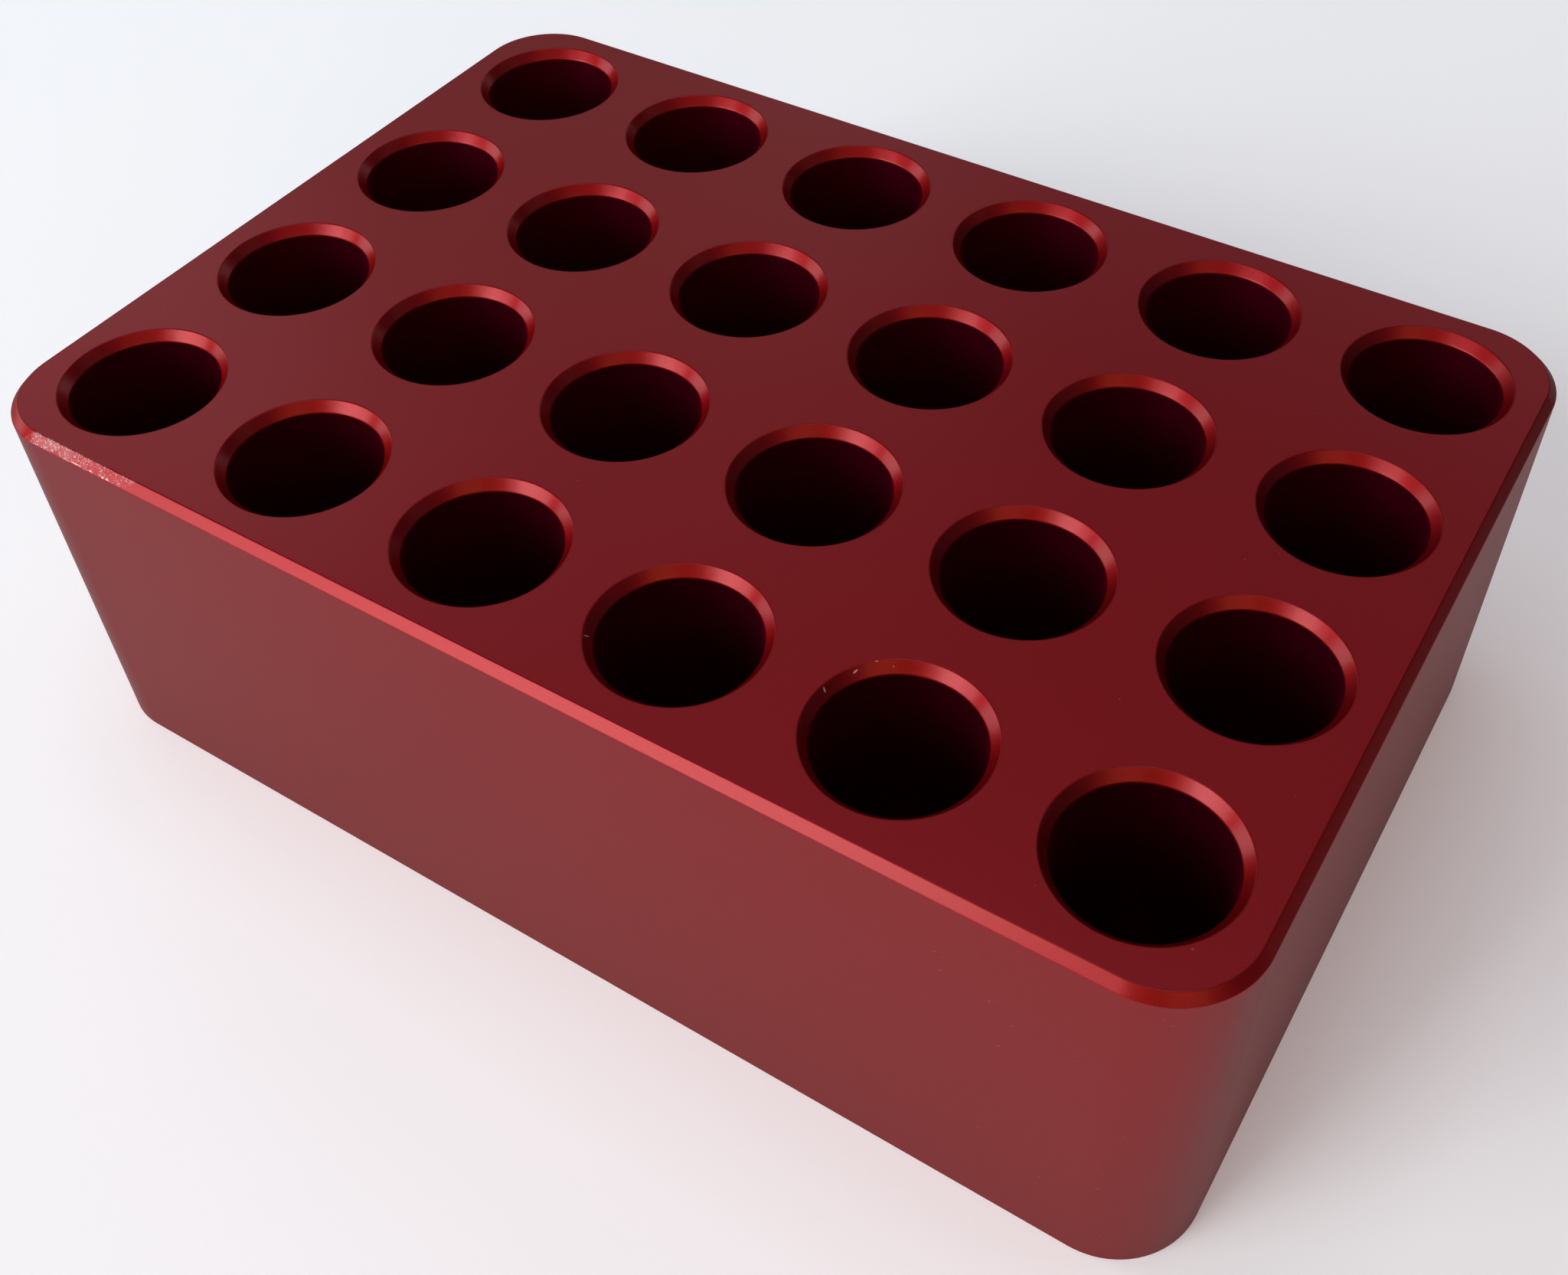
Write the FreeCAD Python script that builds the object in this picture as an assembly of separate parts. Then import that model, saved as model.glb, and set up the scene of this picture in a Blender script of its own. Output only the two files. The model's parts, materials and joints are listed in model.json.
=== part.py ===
import FreeCAD, Part
import math
import os

from FreeCAD import Vector

# Cold block: one piece of aluminium, machined all over, with a grid of blind wells in its top face.
# Its mass carries heat away from what stands in the wells.
# Frame: origin at the middle of the underside, +X along the long sides, +Y along the short ones, +Z up.
# Millimetres and degrees.

# Grid of wells: columns along X, rows along Y
WELL_COLUMNS = 6
WELL_ROWS = 4
PITCH = 25.0

# One well, from its mouth down: a countersink, a straight bore, a tapered seat and a round nose
COUNTERSINK_WIDTH = 1.0
COUNTERSINK_DEPTH = 1.15
BORE_RADIUS = 8.5
SEAT_HALF_ANGLE = 15.0
NOSE_RADIUS = 3.5
FLOOR_THICKNESS = 4.0

# Block: the edge margin runs from the axes of the outermost wells to the block's sides
BLOCK_HEIGHT = 50.0
EDGE_MARGIN = 13.4
CORNER_RADIUS = 10.0
TOP_EDGE_CHAMFER = 1.0

# Sizes that follow
BLOCK_LENGTH = (WELL_COLUMNS - 1) * PITCH + 2 * EDGE_MARGIN
BLOCK_WIDTH = (WELL_ROWS - 1) * PITCH + 2 * EDGE_MARGIN


def rounded_rectangle(length, width, corner_radius):
    """A closed wire on the plane Z = 0, centred on the origin: four straight sides and four corner arcs."""
    corners = (
        (length / 2, width / 2, 0.0),
        (-length / 2, width / 2, 90.0),
        (-length / 2, -width / 2, 180.0),
        (length / 2, -width / 2, 270.0),
    )
    arcs = []
    for corner_x, corner_y, start_angle in corners:
        centre = Vector(
            corner_x - math.copysign(corner_radius, corner_x),
            corner_y - math.copysign(corner_radius, corner_y),
            0,
        )
        arcs.append(Part.makeCircle(corner_radius, centre, Vector(0, 0, 1), start_angle, start_angle + 90.0))
    edges = []
    for arc, next_arc in zip(arcs, arcs[1:] + arcs[:1]):
        edges.append(arc)
        edges.append(Part.makeLine(arc.lastVertex().Point, next_arc.firstVertex().Point))
    return Part.Wire(edges)


def solid_blank():
    """The block before its wells: a rounded prism with a chamfer all round its top edge and a plain lower edge."""
    outline = rounded_rectangle(BLOCK_LENGTH, BLOCK_WIDTH, CORNER_RADIUS)
    prism = Part.Face(outline).extrude(Vector(0, 0, BLOCK_HEIGHT))
    top_edges = [edge for edge in prism.Edges if all(abs(v.Z - BLOCK_HEIGHT) < 1e-6 for v in edge.Vertexes)]
    return prism.makeChamfer(TOP_EDGE_CHAMFER, top_edges)


def well_cutter():
    """The space of one well, with its axis on Z: half of its section turned about that axis.

    The seat's cone runs tangent into the ball of the nose, and meets the bore where it is as wide.
    The cutter reaches above the top face along the countersink's own slope, so that it leaves no rim there.
    """
    lean = math.radians(SEAT_HALF_ANGLE)
    nose_centre = Vector(0, 0, FLOOR_THICKNESS + NOSE_RADIUS)
    nose_tip = Vector(0, 0, FLOOR_THICKNESS)
    nose_middle = nose_centre + NOSE_RADIUS * Vector(
        math.cos(math.pi / 4 + lean / 2), 0, -math.sin(math.pi / 4 + lean / 2)
    )
    seat_foot = nose_centre + NOSE_RADIUS * Vector(math.cos(lean), 0, -math.sin(lean))
    seat_top = Vector(BORE_RADIUS, 0, seat_foot.z + (BORE_RADIUS - seat_foot.x) / math.tan(lean))
    bore_top = Vector(BORE_RADIUS, 0, BLOCK_HEIGHT - COUNTERSINK_DEPTH)
    clear_of_top = Vector(BORE_RADIUS + 2 * COUNTERSINK_WIDTH, 0, BLOCK_HEIGHT + COUNTERSINK_DEPTH)
    axis_top = Vector(0, 0, clear_of_top.z)
    section = Part.Wire(
        [
            Part.Arc(nose_tip, nose_middle, seat_foot).toShape(),
            Part.makeLine(seat_foot, seat_top),
            Part.makeLine(seat_top, bore_top),
            Part.makeLine(bore_top, clear_of_top),
            Part.makeLine(clear_of_top, axis_top),
            Part.makeLine(axis_top, nose_tip),
        ]
    )
    return Part.Face(section).revolve(Vector(0, 0, 0), Vector(0, 0, 1), 360)


def well_positions():
    """The axes of all wells, row by row, in a grid centred on the block."""
    first_x = -(WELL_COLUMNS - 1) * PITCH / 2
    first_y = -(WELL_ROWS - 1) * PITCH / 2
    return [
        Vector(first_x + column * PITCH, first_y + row * PITCH, 0)
        for row in range(WELL_ROWS)
        for column in range(WELL_COLUMNS)
    ]


def cold_block():
    """The finished block: the blank, less one well at every place of the grid."""
    cutter = well_cutter()
    return solid_blank().cut([cutter.translated(place) for place in well_positions()])


def main():
    os.makedirs("parts", exist_ok=True)
    cold_block().exportStep("parts/block.step")


main()
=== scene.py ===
"""A red anodised aluminium cold block, dressed and set up for its picture.

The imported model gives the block's box and the place and radius of every well. The piece built here keeps
those, and adds what the plain solid lacks: fine broken edges, the satin of blasted faces, the sheen of the
machined chamfers, the smooth dark bores, and the small marks of use. Lengths are in metres.
"""

import json
import logging
import math
from collections.abc import Callable
from dataclasses import dataclass
from enum import IntEnum

import bmesh
import bpy
from mathutils import Matrix, Vector

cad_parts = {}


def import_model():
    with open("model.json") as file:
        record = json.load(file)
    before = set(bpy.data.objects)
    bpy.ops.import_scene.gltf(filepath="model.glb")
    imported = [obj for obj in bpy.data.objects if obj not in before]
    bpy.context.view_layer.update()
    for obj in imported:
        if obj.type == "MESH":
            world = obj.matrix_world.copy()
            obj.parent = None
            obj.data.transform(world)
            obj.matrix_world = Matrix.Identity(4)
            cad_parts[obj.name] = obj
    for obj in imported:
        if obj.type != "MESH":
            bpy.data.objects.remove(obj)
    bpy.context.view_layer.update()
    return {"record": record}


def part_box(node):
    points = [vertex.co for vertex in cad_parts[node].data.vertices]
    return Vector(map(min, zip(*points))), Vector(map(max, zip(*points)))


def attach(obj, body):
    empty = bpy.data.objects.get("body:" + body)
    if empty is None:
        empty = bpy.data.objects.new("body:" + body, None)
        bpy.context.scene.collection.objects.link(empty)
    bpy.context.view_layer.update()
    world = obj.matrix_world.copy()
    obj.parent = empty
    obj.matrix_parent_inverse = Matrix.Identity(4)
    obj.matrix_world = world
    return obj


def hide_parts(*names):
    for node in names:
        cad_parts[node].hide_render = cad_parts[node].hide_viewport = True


LOG = logging.getLogger("cold_block")
MM = 0.001
# How near two heights are, in metres, when they count as the same.
SAME_HEIGHT = 1e-6
NEAR_HEIGHT = 1e-5
# The least Z of the normal of a level face.
LEVEL = 0.999
# The share of a mark's or a dot's radius that shows in full.
CORE = 0.4
# Where the front face lies, in millimetres.
FRONT_FACE_Y = -50.9


class Finish(IntEnum):
    """The surfaces of the block, in the order of its material slots."""

    BLASTED = 0
    MACHINED = 1
    BORED = 2


class Graph:
    """A node tree, with short calls for the nodes that the finishes and the studio use."""

    def __init__(self, tree: bpy.types.NodeTree) -> None:
        """Empty a tree and give it its coordinates.

        Args:
            tree: the tree of a material or of the world.
        """
        self.tree = tree
        self.tree.nodes.clear()
        self.coordinates = self.node("ShaderNodeTexCoord").outputs
        self.place = self.coordinates["Object"]

    def node(self, kind: str, **settings: object) -> bpy.types.Node:
        """Add a node.

        Args:
            kind: the node's type name.
            settings: properties of the node, by name.

        Returns:
            The new node.
        """
        made = self.tree.nodes.new(kind)
        for name, value in settings.items():
            setattr(made, name, value)
        return made

    def feed(self, socket: bpy.types.NodeSocket, value: object) -> None:
        """Link an output to a socket, or set the socket to a plain value.

        Args:
            socket: the input.
            value: an output, or the plain value.
        """
        if isinstance(value, bpy.types.NodeSocket):
            self.tree.links.new(value, socket)
        else:
            socket.default_value = value

    def maths(self, operation: str, *values: object, clamp: bool = False) -> bpy.types.NodeSocket:
        """Combine numbers.

        Args:
            operation: the Math node's operation.
            values: outputs or plain numbers, in the order of the node's inputs.
            clamp: whether the result stays between 0 and 1.

        Returns:
            The result's output.
        """
        made = self.node("ShaderNodeMath", operation=operation, use_clamp=clamp)
        for socket, value in zip(made.inputs, values):
            self.feed(socket, value)
        return made.outputs[0]

    def noise(self, place: bpy.types.NodeSocket, size: float, detail: float = 2.0) -> bpy.types.NodeSocket:
        """Add a noise pattern.

        Args:
            place: the position that it is read at.
            size: the width of its features, in metres.
            detail: how many finer layers it has.

        Returns:
            The pattern's output, about 0.5 on average.
        """
        made = self.node("ShaderNodeTexNoise")
        self.feed(made.inputs["Vector"], place)
        made.inputs["Scale"].default_value = 1.0 / size
        made.inputs["Detail"].default_value = detail
        return made.outputs["Fac"]

    def specks(
        self, place: bpy.types.NodeSocket, spacing: float, radius: float, share: float
    ) -> bpy.types.NodeSocket:
        """Add scattered dots.

        Args:
            place: the position that they are read at.
            spacing: the mean distance between their centres in space, in metres.
            radius: the size of a dot that the surface cuts through the middle.
            share: how many of the dots are kept, from 0 to 1.

        Returns:
            The dots' mask, from 0 to 1.
        """
        cells = self.node("ShaderNodeTexVoronoi")
        self.feed(cells.inputs["Vector"], place)
        cells.inputs["Scale"].default_value = 1.0 / spacing
        dot = self.between(cells.outputs["Distance"], radius / spacing, CORE * radius / spacing)
        kept = self.maths("LESS_THAN", cells.outputs["Color"], share)
        return self.maths("MULTIPLY", dot, kept)

    def between(self, value: bpy.types.NodeSocket, low: float, high: float) -> bpy.types.NodeSocket:
        """Turn a number into a soft step from 0 at low to 1 at high.

        Args:
            value: the number's output.
            low: where the step starts.
            high: where it ends. It may be less than low, and the step then falls.

        Returns:
            The step's output.
        """
        made = self.node("ShaderNodeMapRange", interpolation_type="SMOOTHSTEP")
        self.feed(made.inputs["Value"], value)
        made.inputs["From Min"].default_value = low
        made.inputs["From Max"].default_value = high
        return made.outputs["Result"]

    def mix(self, share: object, first: object, second: object) -> bpy.types.NodeSocket:
        """Mix two colours.

        Args:
            share: how much of the second shows, from 0 to 1.
            first: a colour or a colour's output.
            second: a colour or a colour's output.

        Returns:
            The mixed colour's output.
        """
        made = self.node("ShaderNodeMix", data_type="RGBA")
        self.feed(made.inputs["Factor"], share)
        self.feed(made.inputs["A"], first)
        self.feed(made.inputs["B"], second)
        return made.outputs["Result"]

    def bump(self, height: bpy.types.NodeSocket, depth: float) -> bpy.types.NodeSocket:
        """Turn a pattern into a relief.

        Args:
            height: the pattern's output.
            depth: the relief's height, in metres, where the pattern goes from 0 to 1.

        Returns:
            The normal's output.
        """
        made = self.node("ShaderNodeBump")
        made.inputs["Distance"].default_value = depth
        self.feed(made.inputs["Height"], height)
        return made.outputs["Normal"]


class MaterialGraph(Graph):
    """The node tree of a new material."""

    def __init__(self, name: str) -> None:
        """Make the material and start its tree.

        Args:
            name: the material's name.
        """
        self.material = bpy.data.materials.new(name)
        self.material.use_nodes = True
        super().__init__(self.material.node_tree)


@dataclass(frozen=True)
class Anodising:
    """The dyed film on one kind of surface.

    Light crosses the film on its way in and out. Light that glances off crosses more of the dye and comes
    back deeper, while the film's own gloss grows white.
    """

    dye: tuple[float, float, float]
    glancing_dye: tuple[float, float, float]
    gloss: float
    gloss_roughness: float
    index: float = 1.75

    def coat(self, graph: Graph, colour: object, roughness: object, normal: bpy.types.NodeSocket) -> None:
        """Add the film's shader and the material's output.

        Args:
            graph: the material's nodes.
            colour: the colour of the metal seen straight through the film.
            roughness: the metal's roughness.
            normal: the relief that film and metal share.
        """
        made = graph.node("ShaderNodeBsdfPrincipled")
        graph.feed(made.inputs["Base Color"], colour)
        graph.feed(made.inputs["Roughness"], roughness)
        graph.feed(made.inputs["Normal"], normal)
        graph.feed(made.inputs["Coat Normal"], normal)
        made.inputs["Metallic"].default_value = 1.0
        made.inputs["Specular Tint"].default_value = (*self.glancing_dye, 1.0)
        made.inputs["Coat Weight"].default_value = self.gloss
        made.inputs["Coat Roughness"].default_value = self.gloss_roughness
        made.inputs["Coat IOR"].default_value = self.index
        out = graph.node("ShaderNodeOutputMaterial")
        graph.feed(out.inputs["Surface"], made.outputs["BSDF"])


def shaded(colour: tuple[float, float, float], factor: float) -> tuple[float, float, float, float]:
    """Darken or lighten a colour.

    Args:
        colour: red, green and blue.
        factor: what each is multiplied by.

    Returns:
        Red, green, blue and alpha.
    """
    return (*(part * factor for part in colour), 1.0)


def spread(
    colour: tuple[float, float, float], contrast: float
) -> tuple[tuple[float, float, float, float], tuple[float, float, float, float]]:
    """Make a darker and a lighter shade of a colour.

    Args:
        colour: red, green and blue.
        contrast: how far each goes from the colour, as a share of it.

    Returns:
        The darker and the lighter shade, each as red, green, blue and alpha.
    """
    return shaded(colour, 1.0 - contrast), shaded(colour, 1.0 + contrast)


@dataclass(frozen=True)
class Mark:
    """A small scratch or pit: a narrow ellipsoid, in millimetres, that colours what it meets."""

    start: tuple[float, float, float]
    end: tuple[float, float, float]
    width: float
    strength: float = 1.0

    def mask(self, graph: Graph) -> bpy.types.NodeSocket:
        """Add the mark's mask.

        Args:
            graph: the material's nodes.

        Returns:
            The mask's output, from 0 off the mark to its strength on it.
        """
        start, end = Vector(self.start) * MM, Vector(self.end) * MM
        along, half_width = end - start, self.width * MM / 2
        local = graph.node("ShaderNodeMapping", vector_type="TEXTURE")
        graph.feed(local.inputs["Vector"], graph.place)
        local.inputs["Location"].default_value = (start + end) / 2
        local.inputs["Rotation"].default_value = along.to_track_quat("X", "Z").to_euler()
        local.inputs["Scale"].default_value = (along.length / 2 + half_width, half_width, half_width)
        reach = graph.node("ShaderNodeVectorMath", operation="LENGTH")
        graph.feed(reach.inputs[0], local.outputs["Vector"])
        inside = graph.between(reach.outputs["Value"], 1.0, CORE)
        return graph.maths("MULTIPLY", inside, self.strength)


def front_mark(
    start: tuple[float, float], end: tuple[float, float], width: float, strength: float
) -> Mark:
    """Place a mark on the front face.

    Args:
        start: one end, as its place along the face and its height, in millimetres.
        end: the other end.
        width: the mark's width, in millimetres.
        strength: how strongly it shows, from 0 to 1.

    Returns:
        The mark.
    """
    return Mark((start[0], FRONT_FACE_Y, start[1]), (end[0], FRONT_FACE_Y, end[1]), width, strength)


@dataclass(frozen=True)
class BlastedFinish:
    """The flat faces: bead blasted, then anodised, to an even fine satin with a few marks of use."""

    film: Anodising = Anodising(
        dye=(0.325, 0.0046, 0.0110), glancing_dye=(0.15, 0.02, 0.02), gloss=0.35, gloss_roughness=0.30
    )
    roughness: float = 0.48
    roughness_spread: float = 0.08
    grain_size: float = 0.20 * MM
    grain_depth: float = 0.004 * MM
    grain_limits: tuple[float, float] = (0.72, 0.30)
    grain_tone: float = 0.86
    cloud_size: float = 14.0 * MM
    cloud_contrast: float = 0.04
    dark_spacing: float = 1.6 * MM
    dark_radius: float = 0.13 * MM
    dark_share: float = 0.6
    dark_strength: float = 0.45
    dark_tone: float = 0.35
    pale_spacing: float = 2.3 * MM
    pale_radius: float = 0.11 * MM
    pale_share: float = 0.4
    pale_strength: float = 0.55
    pale: tuple[float, float, float] = (0.55, 0.20, 0.20)
    marks: tuple[Mark, ...] = (
        front_mark((49.0, 41.2), (49.2, 41.4), 0.22, 0.8),
        front_mark((49.9, 41.0), (50.0, 41.1), 0.20, 0.7),
        front_mark((49.7, 38.6), (49.8, 38.8), 0.22, 0.8),
        front_mark((53.7, 36.9), (56.0, 38.9), 0.16, 0.35),
        front_mark((54.8, 37.9), (54.9, 38.0), 0.25, 0.9),
        front_mark((56.0, 31.1), (56.4, 31.4), 0.18, 0.9),
        front_mark((57.0, 35.5), (57.4, 35.9), 0.16, 0.7),
        front_mark((54.7, 14.5), (54.9, 14.0), 0.18, 0.8),
        front_mark((54.9, 14.0), (55.2, 14.4), 0.16, 0.7),
        front_mark((61.8, 11.1), (62.0, 11.2), 0.28, 1.0),
        front_mark((63.8, 35.6), (63.9, 35.8), 0.20, 0.5),
        front_mark((46.7, 11.1), (46.8, 11.3), 0.22, 0.6),
        Mark((67.4, -50.8, 18.5), (67.5, -50.8, 19.2), 0.16, 0.5),
        Mark((67.4, -50.8, 14.9), (68.1, -50.66, 14.6), 0.22, 0.9),
        Mark((70.65, -49.7, 46.1), (71.1, -49.45, 46.4), 0.16, 0.5),
        Mark((71.6, -49.1, 18.6), (71.7, -49.05, 18.8), 0.22, 0.4),
        Mark((74.7, -45.5, 44.2), (74.9, -45.4, 44.4), 0.40, 0.35),
        Mark((69.8, -44.4, 50.0), (69.9, -44.3, 50.0), 0.24, 0.7),
    )

    def material(self) -> bpy.types.Material:
        """Build the finish.

        Returns:
            The material.
        """
        graph = MaterialGraph("blasted_red_anodising")
        clouds = graph.noise(graph.place, self.cloud_size, detail=3.0)
        grain = graph.noise(graph.place, self.grain_size)
        colour = graph.mix(clouds, *spread(self.film.dye, self.cloud_contrast))
        hollows = graph.between(grain, *self.grain_limits)
        colour = graph.mix(hollows, colour, shaded(self.film.dye, self.grain_tone))
        dark = graph.specks(graph.place, self.dark_spacing, self.dark_radius, self.dark_share)
        dark = graph.maths("MULTIPLY", dark, self.dark_strength)
        colour = graph.mix(dark, colour, shaded(self.film.dye, self.dark_tone))
        light = graph.specks(graph.place, self.pale_spacing, self.pale_radius, self.pale_share)
        for mark in self.marks:
            light = graph.maths("MAXIMUM", light, mark.mask(graph))
        light = graph.maths("MULTIPLY", light, self.pale_strength)
        colour = graph.mix(light, colour, shaded(self.pale, 1.0))
        lowest = self.roughness - self.roughness_spread / 2
        roughness = graph.maths("MULTIPLY_ADD", grain, self.roughness_spread, lowest)
        self.film.coat(graph, colour, roughness, graph.bump(grain, self.grain_depth))
        return graph.material


@dataclass(frozen=True)
class MachinedFinish:
    """The chamfers: cut bright, with a sparkle of fine tool marks, and scuffed pale on one stretch."""

    film: Anodising = Anodising(
        dye=(0.234, 0.0042, 0.0055), glancing_dye=(0.15, 0.02, 0.02), gloss=0.16, gloss_roughness=0.24
    )
    roughness: float = 0.50
    roughness_spread: float = 0.10
    sparkle_size: float = 0.16 * MM
    sparkle_depth: float = 0.003 * MM
    sparkle_contrast: float = 0.28
    scuff_from: float = -67.2 * MM
    scuff_to: float = -50.6 * MM
    scuff_fade: float = 1.0 * MM
    scuff_dense: float = 2.0 * MM
    scuff_front: float = -49.0 * MM
    scuff_edge: float = 0.3 * MM
    scuff_height: float = 49.5 * MM
    scuff_lean: float = 1.5
    fleck_size: float = 0.20 * MM
    fleck_limits: tuple[float, float] = (0.69, 0.76)
    fleck_strength: float = 0.80
    patch_size: float = 1.2 * MM
    patch_crowding: float = 0.22
    dense_crowding: float = 0.05
    haze_limits: tuple[float, float] = (0.45, 0.85)
    haze_strength: float = 0.28
    dense_haze: float = 0.20
    bare: tuple[float, float, float] = (0.29, 0.15, 0.15)
    pale: tuple[float, float, float] = (0.90, 0.72, 0.66)
    marks: tuple[Mark, ...] = (
        Mark((28.31, -35.94, 49.79), (28.59, -36.12, 49.44), 0.24),
        Mark((29.87, -32.31, 49.69), (29.71, -32.77, 49.56), 0.24, 0.8),
        Mark((4.59, -42.52, 49.85), (4.86, -41.99, 49.27), 0.18, 0.7),
        Mark((8.5, -45.6, 49.4), (8.6, -45.5, 49.4), 0.18, 0.4),
        Mark((30.9, -30.7, 49.98), (31.2, -30.5, 49.98), 0.16, 0.4),
        Mark((32.5, -29.95, 49.5), (32.6, -29.95, 49.3), 0.16, 0.3),
        Mark((70.95, 36.9, 48.95), (71.0, 37.4, 48.95), 0.24, 0.5),
        Mark((70.75, 35.5, 48.95), (70.85, 35.8, 48.95), 0.22, 0.5),
        Mark((-60.1, -50.76, 49.14), (-58.1, -50.76, 49.14), 0.16, 0.35),
        Mark((-56.9, -50.75, 49.15), (-56.5, -50.75, 49.15), 0.20, 0.35),
        Mark((-54.9, -50.77, 49.13), (-54.7, -50.77, 49.13), 0.26, 0.45),
        Mark((-54.3, -50.76, 49.14), (-53.9, -50.76, 49.14), 0.20, 0.35),
    )

    def scuff(self, graph: Graph) -> bpy.types.NodeSocket:
        """Add the mask of the front edge's scuffed stretch: flecks over a haze that thins to the right.

        Args:
            graph: the material's nodes.

        Returns:
            The mask's output.
        """
        parts = graph.node("ShaderNodeSeparateXYZ")
        graph.feed(parts.inputs[0], graph.place)
        height = graph.maths("SUBTRACT", parts.outputs["Z"], self.scuff_height)
        along = graph.maths("MULTIPLY_ADD", height, -self.scuff_lean, parts.outputs["X"])
        front = graph.between(parts.outputs["Y"], self.scuff_front, self.scuff_front - self.scuff_edge)
        stretch = graph.maths(
            "MULTIPLY",
            graph.between(along, self.scuff_from, self.scuff_from + self.scuff_fade),
            graph.between(along, self.scuff_to, self.scuff_to - self.scuff_fade),
        )
        stretch = graph.maths("MULTIPLY", stretch, front)
        dense = graph.between(along, self.scuff_to, self.scuff_from + self.scuff_dense)
        patches = graph.noise(graph.place, self.patch_size)
        crowding = graph.maths("MULTIPLY", dense, self.dense_crowding)
        crowding = graph.maths("MULTIPLY_ADD", patches, self.patch_crowding, crowding)
        flecks = graph.maths("ADD", graph.noise(graph.place, self.fleck_size), crowding)
        flecks = graph.maths("MULTIPLY", graph.between(flecks, *self.fleck_limits), self.fleck_strength)
        haze = graph.maths("MULTIPLY_ADD", dense, self.dense_haze, patches)
        haze = graph.between(haze, *self.haze_limits)
        worn = graph.maths("MULTIPLY_ADD", haze, self.haze_strength, flecks, clamp=True)
        return graph.maths("MULTIPLY", worn, stretch)

    def material(self) -> bpy.types.Material:
        """Build the finish.

        Returns:
            The material.
        """
        graph = MaterialGraph("machined_red_anodising")
        sparkle = graph.noise(graph.place, self.sparkle_size)
        colour = graph.mix(sparkle, *spread(self.film.dye, self.sparkle_contrast))
        colour = graph.mix(self.scuff(graph), colour, shaded(self.bare, 1.0))
        for mark in self.marks:
            colour = graph.mix(mark.mask(graph), colour, shaded(self.pale, 1.0))
        lowest = self.roughness - self.roughness_spread / 2
        roughness = graph.maths("MULTIPLY_ADD", sparkle, self.roughness_spread, lowest)
        self.film.coat(graph, colour, roughness, graph.bump(sparkle, self.sparkle_depth))
        return graph.material


@dataclass(frozen=True)
class BoredFinish:
    """The insides of the wells: drilled and reamed, smoother than the faces."""

    film: Anodising = Anodising(
        dye=(0.300, 0.003, 0.036), glancing_dye=(0.30, 0.01, 0.06), gloss=0.10, gloss_roughness=0.25
    )
    roughness: float = 0.40
    feed_pitch: float = 0.25 * MM
    feed_depth: float = 0.001 * MM
    feed_contrast: float = 0.05
    ring_stretch: float = 0.1

    def material(self) -> bpy.types.Material:
        """Build the finish.

        Returns:
            The material.
        """
        graph = MaterialGraph("bored_red_anodising")
        squash = graph.node("ShaderNodeMapping")
        graph.feed(squash.inputs["Vector"], graph.place)
        squash.inputs["Scale"].default_value = (self.ring_stretch, self.ring_stretch, 1.0)
        rings = graph.noise(squash.outputs["Vector"], self.feed_pitch, detail=1.0)
        colour = graph.mix(rings, *spread(self.film.dye, self.feed_contrast))
        self.film.coat(graph, colour, self.roughness, graph.bump(rings, self.feed_depth))
        return graph.material


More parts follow.
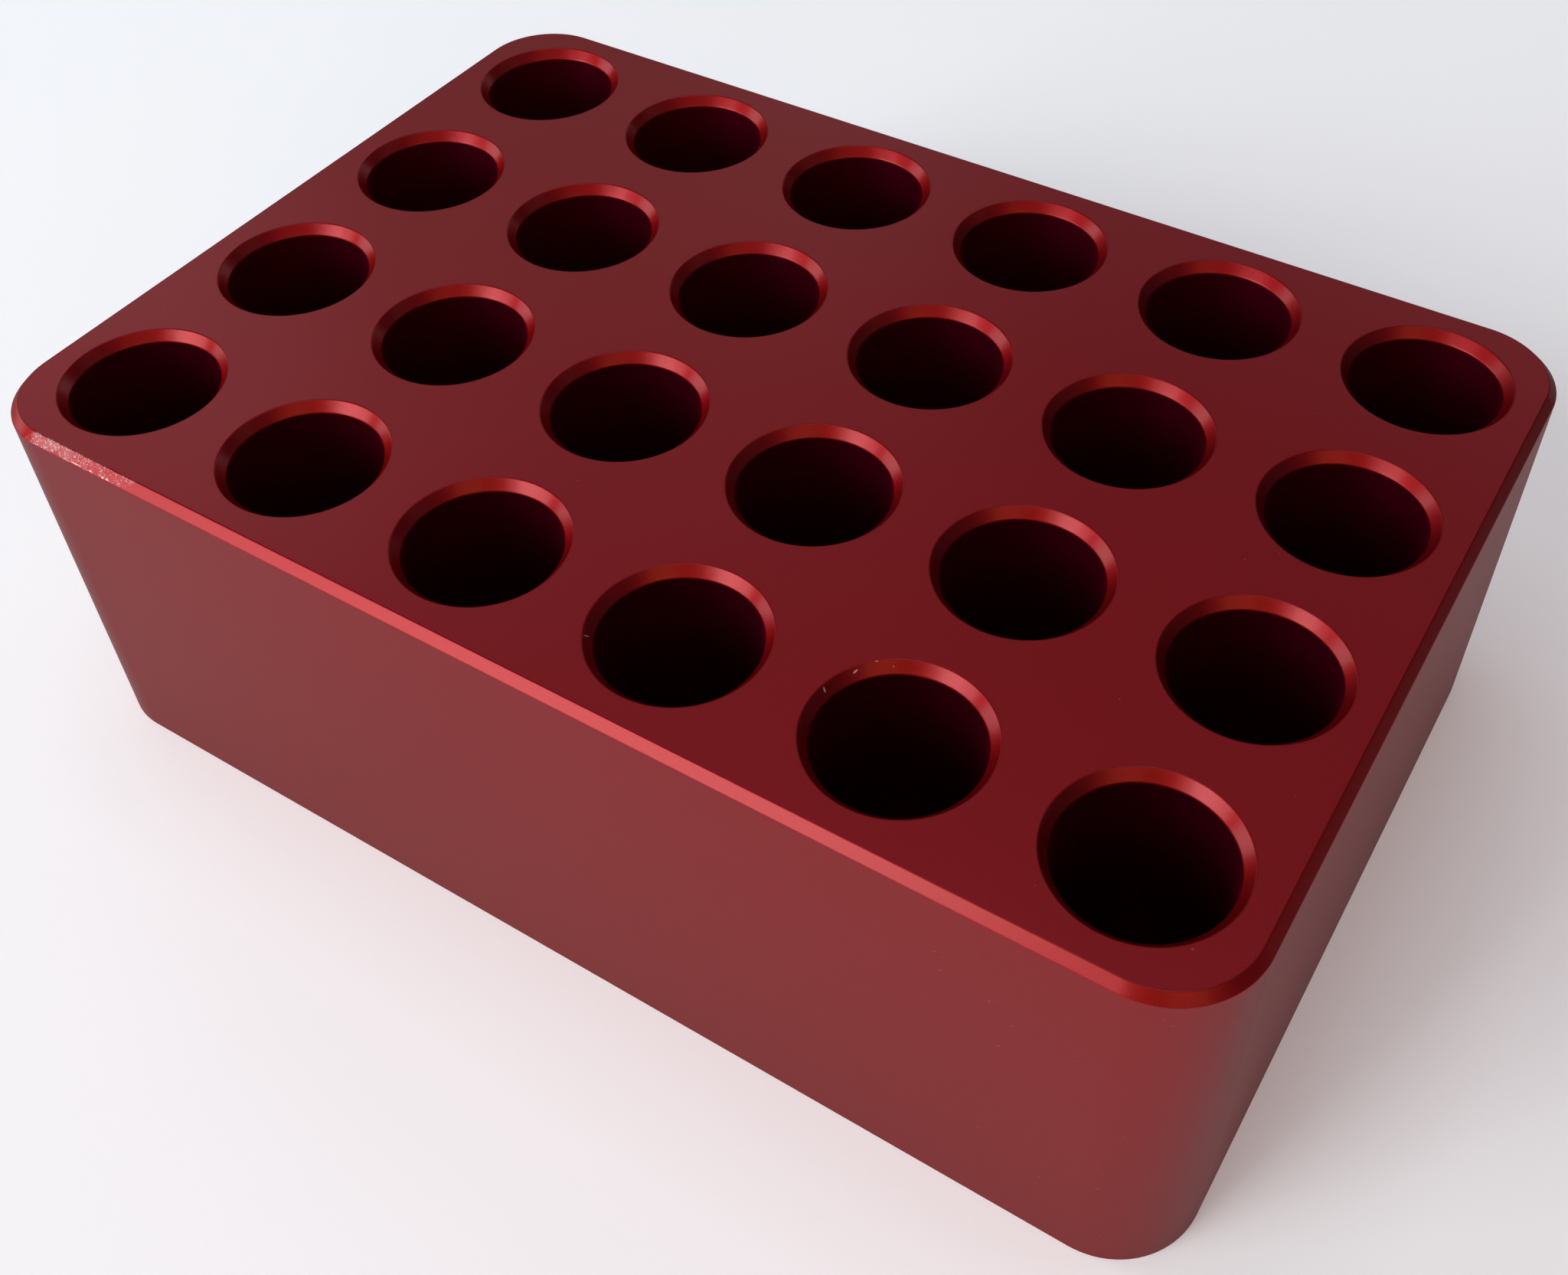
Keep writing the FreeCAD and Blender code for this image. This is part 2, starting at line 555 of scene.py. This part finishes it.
@dataclass
class Well:
    """One well: a countersink, a straight bore, a tapered seat and a round nose."""

    top: float
    bore_radius: float
    countersink_width: float = 1.0 * MM
    countersink_depth: float = 1.15 * MM
    floor_thickness: float = 4.0 * MM
    nose_radius: float = 3.5 * MM
    seat_half_angle: float = math.radians(15.0)
    mouth_break: float = 0.10 * MM
    throat_break: float = 0.16 * MM
    segments: int = 96
    nose_steps: int = 8
    break_steps: int = 4

    def broken(
        self,
        before: tuple[float, float],
        corner: tuple[float, float],
        after: tuple[float, float],
        reach: float,
    ) -> list[tuple[float, float]]:
        """Round a corner of the section.

        Args:
            before: the point of the section before the corner, as radius and height.
            corner: the corner.
            after: the point after it.
            reach: how far the rounding reaches along both sides.

        Returns:
            Points of a short curve that leaves one side and joins the other.
        """
        start, middle, end = Vector(before), Vector(corner), Vector(after)
        first = middle + (start - middle).normalized() * reach
        last = middle + (end - middle).normalized() * reach
        points = []
        for step in range(self.break_steps + 1):
            share = step / self.break_steps
            point = first.lerp(middle, share).lerp(middle.lerp(last, share), share)
            points.append((point.x, point.y))
        return points

    def section(self) -> list[tuple[float, float]]:
        """Work out the section from the mouth down to the nose.

        Returns:
            Radius and height of each ring.
        """
        nose_height = self.floor_thickness + self.nose_radius
        seat_foot = (
            self.nose_radius * math.cos(self.seat_half_angle),
            nose_height - self.nose_radius * math.sin(self.seat_half_angle),
        )
        seat_top = seat_foot[1] + (self.bore_radius - seat_foot[0]) / math.tan(self.seat_half_angle)
        mouth = (self.bore_radius + self.countersink_width, self.top)
        throat = (self.bore_radius, self.top - self.countersink_depth)
        outside = (mouth[0] + self.countersink_width, self.top)
        rings = self.broken(outside, mouth, throat, self.mouth_break)
        rings += self.broken(mouth, throat, (self.bore_radius, seat_top), self.throat_break)
        rings += [(self.bore_radius, (throat[1] + seat_top) / 2), (self.bore_radius, seat_top)]
        for step in range(self.nose_steps):
            angle = self.seat_half_angle + (math.pi / 2 - self.seat_half_angle) * step / self.nose_steps
            height = nose_height - self.nose_radius * math.sin(angle)
            rings.append((self.nose_radius * math.cos(angle), height))
        return rings

    def build(self) -> bpy.types.Object:
        """Model the well's wall about the Z axis: a circle at the mouth, extruded and scaled ring by ring.

        Returns:
            The open shell, at the origin.
        """
        rings = self.section()
        radius, height = rings[0]
        bpy.ops.mesh.primitive_circle_add(
            vertices=self.segments, radius=radius, location=(0, 0, height)
        )
        well = bpy.context.object
        bpy.ops.object.transform_apply(location=True)
        bpy.ops.object.mode_set(mode="EDIT")
        bpy.ops.mesh.select_all(action="SELECT")
        for next_radius, next_height in rings[1:]:
            drop = (0, 0, next_height - height)
            bpy.ops.mesh.extrude_edges_move(TRANSFORM_OT_translate={"value": drop})
            factor = next_radius / radius
            bpy.ops.transform.resize(value=(factor, factor, 1), center_override=(0, 0, next_height))
            radius, height = next_radius, next_height
        drop = (0, 0, self.floor_thickness - height)
        bpy.ops.mesh.extrude_edges_move(TRANSFORM_OT_translate={"value": drop})
        bpy.ops.mesh.merge(type="CENTER")
        bpy.ops.object.mode_set(mode="OBJECT")
        return well


def deselect() -> None:
    """Leave nothing selected and no object in edit mode."""
    if bpy.context.object and bpy.context.object.mode != "OBJECT":
        bpy.ops.object.mode_set(mode="OBJECT")
    bpy.ops.object.select_all(action="DESELECT")


@dataclass
class ColdBlock:
    """The whole block, as one piece."""

    low: Vector
    high: Vector
    well_axes: list[tuple[float, float]]
    bore_radius: float
    corner_radius: float = 10.0 * MM
    top_chamfer: float = 1.0 * MM
    edge_break: float = 0.10 * MM
    corner_segments: int = 36
    edge_break_segments: int = 3
    smooth_angle: float = math.radians(35.0)

    def select_edges(self, blank: bpy.types.Object, wanted: Callable[[Vector, Vector], bool]) -> None:
        """Select the edges of a mesh in edit mode by a test on their two ends.

        Args:
            blank: the object in edit mode.
            wanted: a function of the ends' positions that says whether the edge is selected.
        """
        bpy.ops.mesh.select_mode(type="EDGE")
        bpy.ops.mesh.select_all(action="DESELECT")
        mesh = bmesh.from_edit_mesh(blank.data)
        for edge in mesh.edges:
            if wanted(*(vertex.co for vertex in edge.verts)):
                edge.select_set(True)
        bmesh.update_edit_mesh(blank.data)

    def blank(self) -> bpy.types.Object:
        """Model the block without its wells, open where its top face will be.

        Returns:
            The shell.
        """
        size = self.high - self.low
        bpy.ops.mesh.primitive_cube_add(size=1, location=(self.low + self.high) / 2, scale=size)
        blank = bpy.context.object
        bpy.ops.object.transform_apply(location=True, scale=True)
        bpy.ops.object.mode_set(mode="EDIT")
        self.select_edges(blank, lambda a, b: abs(a.z - b.z) > size.z / 2)
        bpy.ops.mesh.bevel(offset=self.corner_radius, segments=self.corner_segments, affect="EDGES")
        top, bottom = self.high.z, self.low.z
        self.select_edges(blank, lambda a, b: min(a.z, b.z) > top - SAME_HEIGHT)
        bpy.ops.mesh.bevel(offset=self.top_chamfer, segments=1, affect="EDGES")
        self.select_edges(
            blank,
            lambda a, b: abs(a.z - b.z) < SAME_HEIGHT
            and (
                a.z < bottom + SAME_HEIGHT
                or a.z > top - SAME_HEIGHT
                or abs(a.z - top + self.top_chamfer) < NEAR_HEIGHT
            ),
        )
        bpy.ops.mesh.bevel(offset=self.edge_break, segments=self.edge_break_segments, affect="EDGES")
        bpy.ops.mesh.select_mode(type="FACE")
        bpy.ops.mesh.select_all(action="DESELECT")
        mesh = bmesh.from_edit_mesh(blank.data)
        for face in mesh.faces:
            if face.normal.z > LEVEL and face.calc_center_median().z > top - SAME_HEIGHT:
                face.select_set(True)
        bmesh.update_edit_mesh(blank.data)
        bpy.ops.mesh.delete(type="ONLY_FACE")
        bpy.ops.object.mode_set(mode="OBJECT")
        return blank

    def place_wells(self, block: bpy.types.Object) -> None:
        """Model one well, copy it to every axis and join the copies to the shell.

        Args:
            block: the shell.
        """
        deselect()
        pattern = Well(top=self.high.z, bore_radius=self.bore_radius).build()
        deselect()
        for x, y in self.well_axes:
            copy = bpy.data.objects.new("well", pattern.data.copy())
            copy.data.transform(Matrix.Translation((x, y, 0)))
            bpy.context.scene.collection.objects.link(copy)
            copy.select_set(True)
        bpy.data.objects.remove(pattern)
        block.select_set(True)
        bpy.context.view_layer.objects.active = block
        bpy.ops.object.join()

    def close_top(self, block: bpy.types.Object) -> None:
        """Fill the top face between the outer edge and the wells' mouths.

        Args:
            block: the shell with its wells.
        """
        bpy.ops.object.mode_set(mode="EDIT")
        bpy.ops.mesh.select_mode(type="EDGE")
        bpy.ops.mesh.select_all(action="DESELECT")
        bpy.ops.mesh.select_non_manifold()
        bpy.ops.mesh.fill(use_beauty=True)
        bpy.ops.mesh.select_all(action="SELECT")
        bpy.ops.mesh.normals_make_consistent(inside=False)
        bpy.ops.object.mode_set(mode="OBJECT")

    def assign_finishes(self, block: bpy.types.Object) -> None:
        """Give each face the finish of the surface that it lies on.

        Args:
            block: the closed block.
        """
        well = Well(self.high.z, self.bore_radius)
        bore_top = self.high.z - well.countersink_depth - well.throat_break
        reach = self.bore_radius + well.countersink_width
        for face in block.data.polygons:
            x, y, z = face.center
            in_well = any(math.hypot(x - wx, y - wy) < reach for wx, wy in self.well_axes)
            if in_well and self.low.z + NEAR_HEIGHT < z < self.high.z - SAME_HEIGHT:
                face.material_index = Finish.MACHINED if z > bore_top else Finish.BORED
            elif self.high.z - self.top_chamfer < z < self.high.z - SAME_HEIGHT:
                face.material_index = Finish.MACHINED
            else:
                face.material_index = Finish.BLASTED

    def build(self) -> bpy.types.Object:
        """Model and dress the block.

        Returns:
            The finished piece.
        """
        deselect()
        block = self.blank()
        block.name = block.data.name = "cold_block"
        self.place_wells(block)
        self.close_top(block)
        for finish in (BlastedFinish(), MachinedFinish(), BoredFinish()):
            block.data.materials.append(finish.material())
        self.assign_finishes(block)
        bpy.ops.object.shade_smooth_by_angle(angle=self.smooth_angle)
        weighted = block.modifiers.new("even_faces", "WEIGHTED_NORMAL")
        weighted.keep_sharp = True
        bpy.ops.object.modifier_apply(modifier=weighted.name)
        return block


@dataclass(frozen=True)
class Softbox:
    """A soft lamp that faces the block. Its azimuth turns from the front to the left, in degrees."""

    name: str
    azimuth: float
    elevation: float
    width: float
    height: float
    radiance: float
    colour: tuple[float, float, float]
    distance: float = 1.8

    def build(self, aim: Vector) -> None:
        """Place the lamp.

        Args:
            aim: the point that it faces.
        """
        azimuth, elevation = math.radians(self.azimuth), math.radians(self.elevation)
        across = math.cos(elevation)
        towards = Vector((-math.sin(azimuth) * across, -math.cos(azimuth) * across, math.sin(elevation)))
        lamp = bpy.data.lights.new(self.name, "AREA")
        lamp.shape = "RECTANGLE"
        lamp.size, lamp.size_y = self.width, self.height
        lamp.color = self.colour
        lamp.energy = self.radiance * math.pi * self.width * self.height
        made = bpy.data.objects.new(self.name, lamp)
        made.location = aim + towards * self.distance
        made.rotation_euler = (-towards).to_track_quat("-Z", "Y").to_euler()
        bpy.context.scene.collection.objects.link(made)


@dataclass(frozen=True)
class Studio:
    """A plain pale floor under soft light."""

    floor_colour: tuple[float, float, float] = (0.93, 0.93, 0.93)
    floor_roughness: float = 0.9
    floor_shine: float = 0.1
    floor_grain: float = 40.0 * MM
    floor_contrast: float = 0.01
    floor_glow: float = 0.105
    floor_reach: float = 12.0
    far_glow: float = 0.95
    far_from: float = 0.5
    far_to: float = 1.3
    surround: float = 0.134
    surround_colour: tuple[float, float, float] = (0.25, 0.70, 1.00)
    horizon_reach: float = 0.04
    aim_height: float = 25.0 * MM
    softboxes: tuple[Softbox, ...] = (
        Softbox("right_low", -70, 25, 0.5, 0.8, 0.45, (1.00, 0.50, 0.30)),
        Softbox("right", -50, 33, 0.85, 0.8, 2.10, (1.00, 0.40, 0.18)),
        Softbox("front_right", -20, 34, 0.9, 0.8, 0.75, (1.00, 0.38, 0.05)),
        Softbox("front", 9, 33, 0.45, 0.8, 2.80, (1.00, 0.98, 0.95)),
        Softbox("window", 27, 26, 0.75, 0.85, 8.70, (0.91, 0.97, 1.00)),
        Softbox("window_edge", 47, 20, 0.35, 0.5, 7.50, (0.93, 0.98, 1.00)),
        Softbox("side", 78, 15, 0.8, 0.8, 5.10, (0.87, 0.96, 1.00)),
        Softbox("left", 104, 30, 1.1, 0.9, 0.90, (0.98, 0.95, 1.00)),
        Softbox("left_back", 135, 32, 0.9, 0.8, 0.50, (1.00, 0.96, 0.91)),
        Softbox("back", 166, 26, 1.2, 0.6, 0.54, (0.91, 0.96, 1.00)),
        Softbox("back_right", -122, 40, 0.8, 0.8, 0.45, (1.00, 0.45, 0.35)),
        Softbox("far_right", -174, 21, 0.6, 0.5, 1.20, (1.00, 0.94, 0.96)),
        Softbox("high_back", 165, 56, 1.2, 0.8, 0.35, (1.00, 0.20, 0.07)),
        Softbox("ceiling", 0, 86, 1.4, 1.4, 1.42, (0.86, 0.94, 1.00)),
    )

    def lay_floor(self) -> None:
        """Lay the floor, which has a glow of its own to the camera and the metal, stronger far off."""
        deselect()
        bpy.ops.mesh.primitive_plane_add(size=2 * self.floor_reach)
        floor = bpy.context.object
        floor.name = "floor"
        paint = MaterialGraph("pale_floor")
        matt = paint.node("ShaderNodeBsdfPrincipled")
        matt.inputs["Roughness"].default_value = self.floor_roughness
        matt.inputs["Specular IOR Level"].default_value = self.floor_shine
        grain = paint.noise(paint.place, self.floor_grain, detail=3.0)
        colour = paint.mix(grain, *spread(self.floor_colour, self.floor_contrast))
        paint.feed(matt.inputs["Base Color"], colour)
        path = paint.node("ShaderNodeLightPath").outputs
        seen = paint.maths("MAXIMUM", path["Is Camera Ray"], path["Is Glossy Ray"])
        seen = paint.maths("MAXIMUM", seen, path["Is Transmission Ray"])
        length = paint.node("ShaderNodeVectorMath", operation="LENGTH")
        paint.feed(length.inputs[0], paint.place)
        far = paint.between(length.outputs["Value"], self.far_from, self.far_to)
        strength = paint.maths("MULTIPLY_ADD", far, self.far_glow - self.floor_glow, self.floor_glow)
        glow = paint.node("ShaderNodeEmission")
        paint.feed(glow.inputs["Strength"], paint.maths("MULTIPLY", seen, strength))
        both = paint.node("ShaderNodeAddShader")
        paint.feed(both.inputs[0], matt.outputs["BSDF"])
        paint.feed(both.inputs[1], glow.outputs["Emission"])
        out = paint.node("ShaderNodeOutputMaterial")
        paint.feed(out.inputs["Surface"], both.outputs["Shader"])
        floor.data.materials.append(paint.material)

    def set_surroundings(self) -> None:
        """Set dim surroundings, white to the camera, and white to the metal close to the horizon."""
        world = bpy.data.worlds.new("studio")
        bpy.context.scene.world = world
        world.use_nodes = True
        paint = Graph(world.node_tree)
        path = paint.node("ShaderNodeLightPath").outputs
        direction = paint.node("ShaderNodeSeparateXYZ")
        paint.feed(direction.inputs["Vector"], paint.coordinates["Generated"])
        horizon = paint.between(direction.outputs["Z"], self.horizon_reach, 0.0)
        mirrored = paint.maths("MULTIPLY", path["Is Glossy Ray"], horizon)
        seen = paint.maths("MAXIMUM", path["Is Camera Ray"], path["Is Transmission Ray"])
        seen = paint.maths("MAXIMUM", seen, mirrored)
        dim = shaded(self.surround_colour, self.surround)
        sky = paint.node("ShaderNodeBackground")
        paint.feed(sky.inputs["Color"], paint.mix(seen, dim, shaded((1.0, 1.0, 1.0), 1.0)))
        out = paint.node("ShaderNodeOutputWorld")
        paint.feed(out.inputs["Surface"], sky.outputs["Background"])

    def build(self) -> None:
        """Lay the floor, place the lamps and set the surroundings."""
        self.lay_floor()
        for softbox in self.softboxes:
            softbox.build(Vector((0, 0, self.aim_height)))
        self.set_surroundings()
        bpy.context.scene.view_settings.view_transform = "Standard"


@dataclass(frozen=True)
class PhotoCamera:
    """The camera that took the photo: its place, the way it looks and its lens."""

    eye: tuple[float, float, float] = (88.01 * MM, -127.77 * MM, 179.26 * MM)
    forward: tuple[float, float, float] = (-0.38381, 0.59302, -0.70782)
    right: tuple[float, float, float] = (0.84833, 0.52921, -0.01661)
    sensor_width: float = 36.0
    focal_length: float = 40.700
    shift_x: float = -0.02459
    shift_y: float = -0.06135
    near_clip: float = 10.0 * MM

    def build(self) -> None:
        """Place the camera and make it the scene's own."""
        lens = bpy.data.cameras.new("photo_camera")
        lens.sensor_width = self.sensor_width
        lens.lens = self.focal_length
        lens.shift_x, lens.shift_y = self.shift_x, self.shift_y
        lens.clip_start = self.near_clip
        forward, right = Vector(self.forward).normalized(), Vector(self.right).normalized()
        up = right.cross(forward)
        made = bpy.data.objects.new("photo_camera", lens)
        turn = Matrix((right, up, -forward)).transposed().to_4x4()
        made.matrix_world = Matrix.Translation(self.eye) @ turn
        bpy.context.scene.collection.objects.link(made)
        bpy.context.scene.camera = made


def main() -> None:
    """Load the frame, build the block and the studio, and log the block's face and well counts."""
    logging.basicConfig(level=logging.INFO, format="%(name)s: %(message)s")
    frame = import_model()
    wells = [mount for mount in frame["record"]["mounts"] if mount["kind"] == "bore"]
    low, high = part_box("block")
    block = ColdBlock(
        low=low,
        high=high,
        well_axes=[tuple(mount["pos_m"][:2]) for mount in wells],
        bore_radius=wells[0]["dims"]["r_mm"] * MM,
    ).build()
    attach(block, "root")
    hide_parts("block")
    LOG.info("%s: %d faces, %d wells", block.name, len(block.data.polygons), len(wells))
    Studio().build()
    PhotoCamera().build()


if __name__ == "__main__":
    main()
